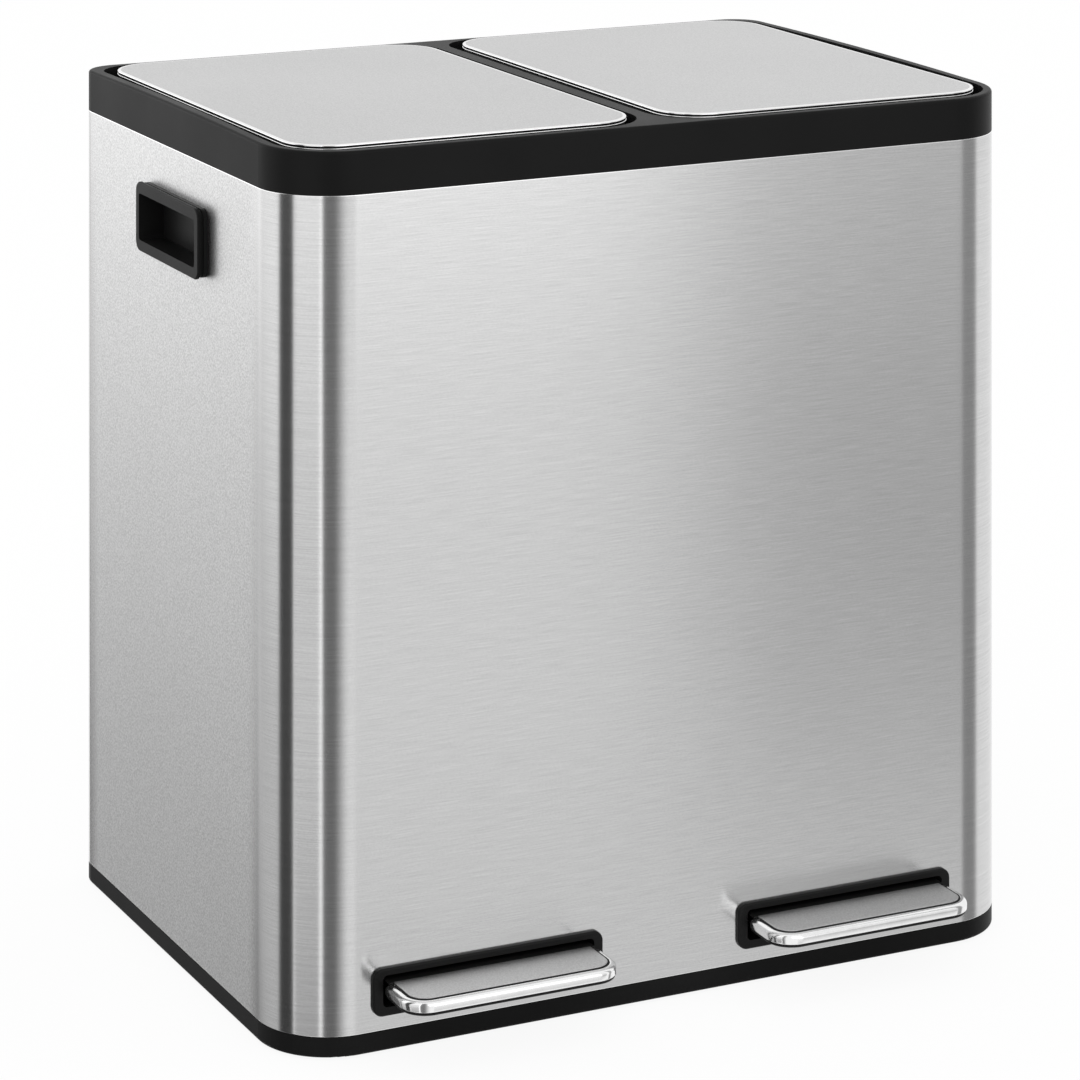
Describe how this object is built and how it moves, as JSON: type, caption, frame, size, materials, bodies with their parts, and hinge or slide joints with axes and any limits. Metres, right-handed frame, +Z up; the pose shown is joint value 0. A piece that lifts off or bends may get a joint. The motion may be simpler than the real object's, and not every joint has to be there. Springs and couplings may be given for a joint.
{
  "type": "double recycling bin",
  "caption": "Rectangular steel pedal bin with a divided black rim, two flat steel lids, two pedals with soft-close lift rods, and two lift-out buckets.",
  "frame": {"origin": "centre of the bounding box in X and Y, on the floor in Z", "axes": "+X to the right seen from the front, -Y towards the front where the pedals are, +Z up"},
  "size_m": [0.535, 0.4194, 0.5543],
  "materials": {
    "shell_steel": "horizontal brushed satin",
    "lid_steel": "fine satin with a polished folded edge",
    "polished_steel": "polished flange, satin top",
    "black_plastic": "fine matt moulded",
    "handle_plastic": "fine matt moulded",
    "bezel_plastic": "fine matt moulded",
    "shoe_plastic": "satin moulded",
    "inner_plastic": "matt moulded",
    "bucket_plastic": "fine grained polypropylene",
    "rubber": "matt",
    "nylon": "natural nylon",
    "plated_steel": "zinc plated",
    "pin_steel": "drawn bright steel",
    "screw_steel": "zinc plated",
    "damper_aluminium": "anodised"
  },
  "bodies": {
    "bin_body": {"axle_bracket_left": "plated_steel", "axle_bracket_right": "plated_steel", "axle_clips": "screw_steel", "base_tray": "black_plastic", "bracket_screws": "screw_steel", "bucket_deck": "inner_plastic", "damper_clamps": "inner_plastic", "damper_cylinder_left": "damper_aluminium", "damper_cylinder_right": "damper_aluminium", "feet": "rubber", "handle_left": "handle_plastic", "handle_retainer_left": "inner_plastic", "handle_retainer_right": "inner_plastic", "handle_right": "handle_plastic", "hinge_brackets_left": "plated_steel", "hinge_brackets_right": "plated_steel", "hinge_pins": "pin_steel", "hinge_screws": "screw_steel", "lever_axle_left": "pin_steel", "lever_axle_right": "pin_steel", "lever_bushes": "nylon", "lid_bumpers": "rubber", "outer_shell": "shell_steel", "pedal_bezel_left": "bezel_plastic", "pedal_bezel_right": "bezel_plastic", "rod_cover_left": "inner_plastic", "rod_cover_right": "inner_plastic", "rod_guides": "nylon", "top_frame": "black_plastic"},
    "lid_left": {"lid_plate_left": "lid_steel", "lid_frame_left": "inner_plastic", "lift_bracket_left": "plated_steel", "lift_roller_left": "nylon", "lift_screws_left": "screw_steel"},
    "lift_rod_left": {"push_rod_left": "pin_steel", "pusher_head_left": "nylon", "rod_foot_left": "rubber", "damper_piston_left": "pin_steel", "damper_link_left": "inner_plastic"},
    "pedal_left": {"pedal_cap_left": "polished_steel", "pedal_lever_left": "plated_steel", "pedal_shoe_left": "shoe_plastic", "pedal_screws_left": "screw_steel"},
    "inner_bucket_left": {"bucket_left": "bucket_plastic"},
    "lid_right": {"lid_plate_right": "lid_steel", "lid_frame_right": "inner_plastic", "lift_bracket_right": "plated_steel", "lift_roller_right": "nylon", "lift_screws_right": "screw_steel"},
    "lift_rod_right": {"push_rod_right": "pin_steel", "pusher_head_right": "nylon", "rod_foot_right": "rubber", "damper_piston_right": "pin_steel", "damper_link_right": "inner_plastic"},
    "pedal_right": {"pedal_cap_right": "polished_steel", "pedal_lever_right": "plated_steel", "pedal_shoe_right": "shoe_plastic", "pedal_screws_right": "screw_steel"},
    "inner_bucket_right": {"bucket_right": "bucket_plastic"}
  },
  "joints": [
    {"name": "lid_left_hinge", "type": "hinge", "parent": "bin_body", "child": "lid_left", "pos_m": [-0.1265, 0.18895, 0.5493], "axis": [-1, 0, 0], "range_deg": [0, 80]},
    {"name": "lift_rod_left_slide", "type": "slide", "parent": "bin_body", "child": "lift_rod_left", "axis": [0, 0, 1], "range_m": [0, 0.0273]},
    {"name": "pedal_left_hinge", "type": "hinge", "parent": "bin_body", "child": "pedal_left", "pos_m": [-0.1265, -0.06425, 0.036], "axis": [1, 0, 0], "range_deg": [0, 6.16]},
    {"name": "bucket_left_lift", "type": "slide", "parent": "bin_body", "child": "inner_bucket_left", "axis": [0, 0, 1], "range_m": [0, 0.01]},
    {"name": "lid_right_hinge", "type": "hinge", "parent": "bin_body", "child": "lid_right", "pos_m": [0.1265, 0.18895, 0.5493], "axis": [-1, 0, 0], "range_deg": [0, 80]},
    {"name": "lift_rod_right_slide", "type": "slide", "parent": "bin_body", "child": "lift_rod_right", "axis": [0, 0, 1], "range_m": [0, 0.0273]},
    {"name": "pedal_right_hinge", "type": "hinge", "parent": "bin_body", "child": "pedal_right", "pos_m": [0.1265, -0.06425, 0.036], "axis": [1, 0, 0], "range_deg": [0, 6.16]},
    {"name": "bucket_right_lift", "type": "slide", "parent": "bin_body", "child": "inner_bucket_right", "axis": [0, 0, 1], "range_m": [0, 0.01]}
  ],
  "couplings": [
    {"joint": "lift_rod_left_slide", "follows": "lid_left_hinge", "m_per_rad": 0.019337},
    {"joint": "pedal_left_hinge", "follows": "lid_left_hinge", "ratio": 0.076375},
    {"joint": "lift_rod_right_slide", "follows": "lid_right_hinge", "m_per_rad": 0.019337},
    {"joint": "pedal_right_hinge", "follows": "lid_right_hinge", "ratio": 0.076375}
  ]
}
